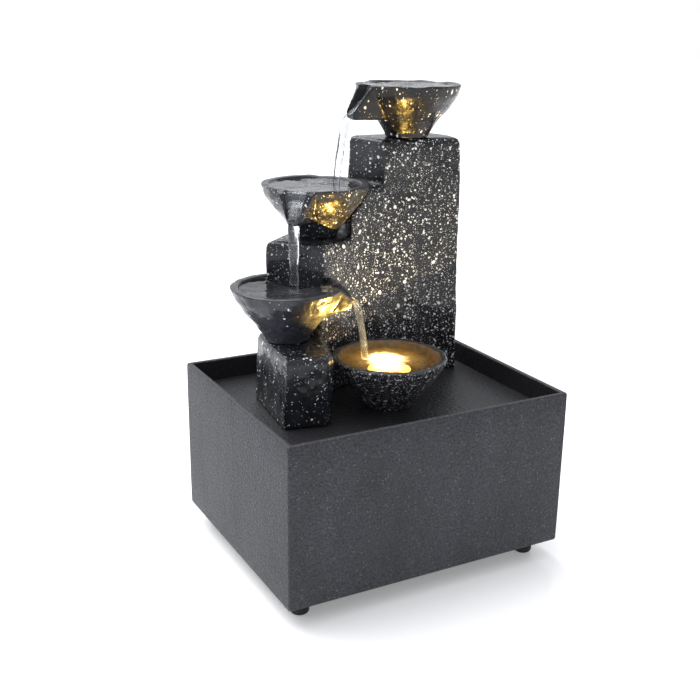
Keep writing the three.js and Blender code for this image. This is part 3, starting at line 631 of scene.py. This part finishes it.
# ---- Water ----
def water_surface(name, x, y, z, radius, landing, height, material):
    """A bowl's water: rings run out from where the stream comes in, and its edge curls up."""
    rings, spokes = 40, 96
    vertices = [(x, y, z)]
    for ring in range(1, rings + 1):
        r = radius * ring / rings
        for spoke in range(spokes):
            a = 2 * math.pi * spoke / spokes
            px, py = x + r * math.cos(a), y + r * math.sin(a)
            away = math.hypot(px - landing[0], py - landing[1])
            wave = height * math.cos(away * 1.25) * math.exp(-away / 14)
            swell = 0.35 * noise.noise(Vector((px, py, z)) / 9)
            curl = 0.5 * ramp(r, radius - 2, radius)
            vertices.append((px, py, z + wave + swell + curl))
    faces = [(0, 1 + i, 1 + (i + 1) % spokes) for i in range(spokes)]
    for ring in range(rings - 1):
        low, high = 1 + ring * spokes, 1 + (ring + 1) * spokes
        for i in range(spokes):
            j = (i + 1) % spokes
            faces.append((low + i, high + i, high + j, low + j))
    piece = add_object(name, mesh_of(name, vertices, faces), DECK, material)
    piece.visible_shadow = False


def curve_through(points, steps):
    """Points on a smooth curve through the given ones, with each one's other numbers carried along."""
    result = []
    last = len(points) - 1
    for i in range(last):
        before, here = points[max(0, i - 1)], points[i]
        ahead, after = points[i + 1], points[min(last, i + 2)]
        for step in range(steps):
            t = step / steps
            point = []
            for a, b, c, d in zip(before, here, ahead, after):
                bend, twist = 2 * a - 5 * b + 4 * c - d, 3 * b - a - 3 * c + d
                point.append(0.5 * (2 * b + (c - a) * t + bend * t * t + twist * t ** 3))
            result.append(point)
    result.append(list(points[-1]))
    return result


def make_stream(name, bowl, foot, level, landing_z, material):
    """Water that slides down a spout's channel and falls to the next bowl, drawn narrower all the way."""
    heading = math.radians(bowl["heading"])
    out = Vector((math.cos(heading), math.sin(heading), 0))
    across = Vector((-out.y, out.x, 0))
    axis = Vector((bowl["x"], bowl["y"], 0))
    tip_r, tip_z = bowl["reach"] - 1, foot + bowl["tip"] + 2.2
    notch_z = foot + NOTCH_UP
    half = bowl["stream"] / 2
    notch = bowl["notch"]
    # From the axis, height, half width and half thickness.
    chute = [
        (22, level - 0.9, notch - 0.5, 0.5),
        (27.5, level - 1.3, notch - 0.5, 0.9),
        (NOTCH_OUT, notch_z - 1.4, 0.85 * notch, 1.3),
        ((NOTCH_OUT + tip_r) / 2, (notch_z - 1.6 + tip_z) / 2 + 0.4, 0.65 * notch, 1.3),
        (tip_r, tip_z, half, 1.3),
    ]
    chute = [(axis + out * r + Vector((0, 0, z)), width, depth) for r, z, width, depth in chute]
    tip = chute[-1][0]
    end = Vector((*bowl["lands"], landing_z - 1.5))
    drop = tip.z - end.z
    fall = []
    for share in (0.12, 0.3, 0.5, 0.72, 0.9, 1.0):
        gone = math.sqrt(share)
        point = tip.lerp(end, gone)
        point.z = tip.z - drop * share
        narrow = half * (1.0 - 0.3 * share)
        fall.append((point, narrow, 0.55 * narrow + 0.7 * share))
    points = curve_through([[*p, w, h] for p, w, h in chute + fall], 9)
    sides = 20
    loops = []
    for index, (px, py, pz, width, depth) in enumerate(points):
        here = Vector((px, py, pz))
        neighbour = points[min(index + 1, len(points) - 1)]
        behind = points[max(index - 1, 0)]
        along = (Vector(neighbour[:3]) - Vector(behind[:3])).normalized()
        side = across - along * across.dot(along)
        side.normalize()
        face = along.cross(side).normalized()
        # The whole stream swells and narrows, and its surface is lumpy besides.
        swing = 1 + 0.16 * noise.noise(here / 5) + 0.1 * noise.noise(here / 2.2)
        loop = []
        for i in range(sides):
            a = 2 * math.pi * i / sides
            lump = 1 + 0.14 * noise.noise(Vector((3 * math.cos(a), 3 * math.sin(a), index * 0.09)))
            loop.append(here + side * width * swing * lump * math.cos(a) + face * depth * lump * math.sin(a))
        loops.append(loop)
    piece = add_object(name, loft(name, loops), DECK, material)
    piece.visible_shadow = False


def make_water():
    still = water("water_surface", 9, 0.12)
    clear = water("water_stream", 4, 0.35, 0.15, 0.02)
    # The stream that falls into the lamp bowl gets a painted glow for the lamp's light caught in it.
    painted_glow_stream = water("stream_with_painted_glow", 4, 0.35, 0.15, 0.01, 0.16)
    levels = {node: foot_of(node) + bowl["water"] for node, bowl in BOWLS.items()}
    levels["lamp_bowl"] = foot_of("lamp_bowl") + LAMP["water"]
    order = list(levels)
    for node, below in zip(order, order[1:]):
        bowl = BOWLS[node]
        look = painted_glow_stream if below == "lamp_bowl" else clear
        make_stream(node + "_stream", bowl, foot_of(node), levels[node], levels[below], look)
    landing = {below: BOWLS[node]["lands"] for node, below in zip(order, order[1:])}
    landing["top_bowl"] = (BOWLS["top_bowl"]["x"], BOWLS["top_bowl"]["y"])
    for node, bowl in BOWLS.items():
        surface = (bowl["x"], bowl["y"], levels[node], BOWL_WATER_RADIUS)
        water_surface(node + "_water", *surface, landing[node], 0.3, still)
    level = levels["lamp_bowl"]
    surface = (LAMP["x"], LAMP["y"], level, LAMP["radius"])
    water_surface("lamp_bowl_water", *surface, landing["lamp_bowl"], 0.4, painted_glow_water(level))


# ---- Pieces kept from the CAD model ----
def dress_nodes():
    """Gives each CAD node the finish of its material slot, and returns the rubber."""
    rubber = moulded("black_rubber", (0.006, 0.006, 0.006), (0.014, 0.014, 0.014), 0.7)
    glossy = moulded("pump_plastic", (0.008, 0.008, 0.009), (0.018, 0.018, 0.02), 0.38)
    matt = moulded("cover_plastic", (0.011, 0.011, 0.012), (0.02, 0.02, 0.022), 0.55, 0.8, 0.05)
    steel = metal("steel", (0.6, 0.61, 0.63), (0.42, 0.43, 0.45), 0.3, 0.2)
    finishes = {
        "deck_finish": tray_paint("deck_grain", (0.014, 0.014, 0.016), (0.027, 0.027, 0.031)),
        "rubber": rubber,
        "pump_plastic": glossy,
        "cover_plastic": matt,
        "steel": steel,
        "tube_vinyl": vinyl(),
        "copper": winding(),
        "sponge": foam(),
        "ceramic": moulded("ceramic", (0.7, 0.68, 0.64), (0.8, 0.78, 0.74), 0.25),
        "magnet": moulded("ferrite", (0.03, 0.028, 0.028), (0.05, 0.045, 0.045), 0.5, 0.6, 0.05),
        "board": board(),
        "lens": lens(),
        "cable": moulded("cable_jacket", (0.006, 0.006, 0.007), (0.012, 0.012, 0.013), 0.5, 0.7, 0.04),
    }
    for part in frame["record"]["subparts"]:
        finish = finishes.get(part["material_slot"])
        if finish is None:
            continue
        piece = nodes[part["node"]]
        piece.data.materials.clear()
        piece.data.materials.append(finish)
        piece.data.shade_smooth()
        mark_sharp(piece, 32)
    return rubber


# ---- Studio ----
def make_floor():
    size = 6000
    corners = [(-size, -size, 0), (size, -size, 0), (size, size, 0), (-size, size, 0)]
    floor = bpy.data.objects.new("studio_floor", mesh_of("studio_floor", corners, [(0, 1, 2, 3)]))
    floor.data.materials.append(white_floor())
    scene.collection.objects.link(floor)


def make_world():
    """White behind everything. What lights the pieces is bright behind, above and left, and dim in front."""
    world = bpy.data.worlds.new("studio")
    world.use_nodes = True
    tree = world.node_tree
    towards = tree.nodes.new("ShaderNodeTexCoord").outputs["Generated"]
    lean = tree.nodes.new("ShaderNodeVectorMath")
    lean.operation = "DOT_PRODUCT"
    lean.inputs[1].default_value = BRIGHT_SIDE
    tree.links.new(towards, lean.inputs[0])
    brightness = tree.nodes.new("ShaderNodeMapRange")
    ends = {"From Min": -1.0, "From Max": 1.0, "To Min": STUDIO_DIM, "To Max": STUDIO_BRIGHT}
    for key, value in ends.items():
        brightness.inputs[key].default_value = value
    tree.links.new(lean.outputs["Value"], brightness.inputs["Value"])
    lighting = tree.nodes["Background"]
    tree.links.new(brightness.outputs[0], lighting.inputs["Strength"])
    backdrop = tree.nodes.new("ShaderNodeBackground")
    chosen = tree.nodes.new("ShaderNodeMixShader")
    seen = tree.nodes.new("ShaderNodeLightPath").outputs["Is Camera Ray"]
    tree.links.new(seen, chosen.inputs[0])
    for index, shader, colour in ((1, lighting, (0.94, 0.965, 1.0, 1)), (2, backdrop, (1, 1, 1, 1))):
        shader.inputs["Color"].default_value = colour
        tree.links.new(shader.outputs[0], chosen.inputs[index])
    tree.links.new(chosen.outputs[0], tree.nodes["World Output"].inputs["Surface"])
    scene.world = world


def make_lights():
    sky = (SKY_STRENGTH, (1, 1, 1))
    add_light("sky_panel", "SUN", sky, (0, 0, 0), SKY_FROM, angle=math.radians(SKY_SPREAD))
    lamp_light("lamp_on_bowls", BOWL_LIGHT, "INCLUDE")
    lamp_light("lamp_on_wall", WALL_LIGHT, "EXCLUDE")


def lamp_light(name, light, state):
    """A beam up from the lens, that rides with the lamp bowl. state: whether it lights only the tower bowls
    or all but them."""
    lens_top = Vector((LAMP["x"], LAMP["y"], top_of("led_lens") + 0.4))
    beam = dict(spot_blend=0.06, spot_size=math.radians(LAMP_CONE), shadow_soft_size=LAMP_SIZE * MM)
    lamp = add_light(name, "SPOT", light, lens_top, (0, 0, -1), **beam)
    lamp.parent = bpy.data.objects["lamp_bowl_casting"]
    bowls = bpy.data.collections.new(name)
    for node in BOWLS:
        bowls.objects.link(bpy.data.objects[node + "_casting"])
    for member in bowls.collection_objects:
        member.light_linking.link_state = state
    lamp.light_linking.receiver_collection = bowls


def add_light(name, kind, light, place, comes_from, **settings):
    """A light of (energy, colour) at a place in millimetres, that shines away from where it comes_from."""
    data = bpy.data.lights.new(name, kind)
    data.energy, data.color = light
    for key, value in settings.items():
        setattr(data, key, value)
    lamp = bpy.data.objects.new(name, data)
    lamp.location = Vector(place) * MM
    lamp.rotation_mode = "QUATERNION"
    lamp.rotation_quaternion = Vector(comes_from).to_track_quat("Z", "Y")
    scene.collection.objects.link(lamp)
    return lamp


make_camera()
black_rubber = dress_nodes()
tray_wall_grain = tray_paint("tray_wall_grain", (0.008, 0.008, 0.009), (0.016, 0.016, 0.018))
make_tank(tank_paint(), tray_wall_grain)
make_feet(black_rubber)
wall_lacquer = stone_paint("wall_lacquer", (1.0, 0.75, 0.35), depth=2.2)
column_lacquer = stone_paint("column_lacquer", (0.35, 0.24, 0.16), depth=1.3)
make_tower(wall_lacquer, column_lacquer)
plain_lacquer = rim_paint("rim_lacquer")
make_bowls(plain_lacquer)
make_lamp_bowl(plain_lacquer)
make_water()
make_floor()
make_world()
make_lights()
scene.view_settings.view_transform = "Standard"
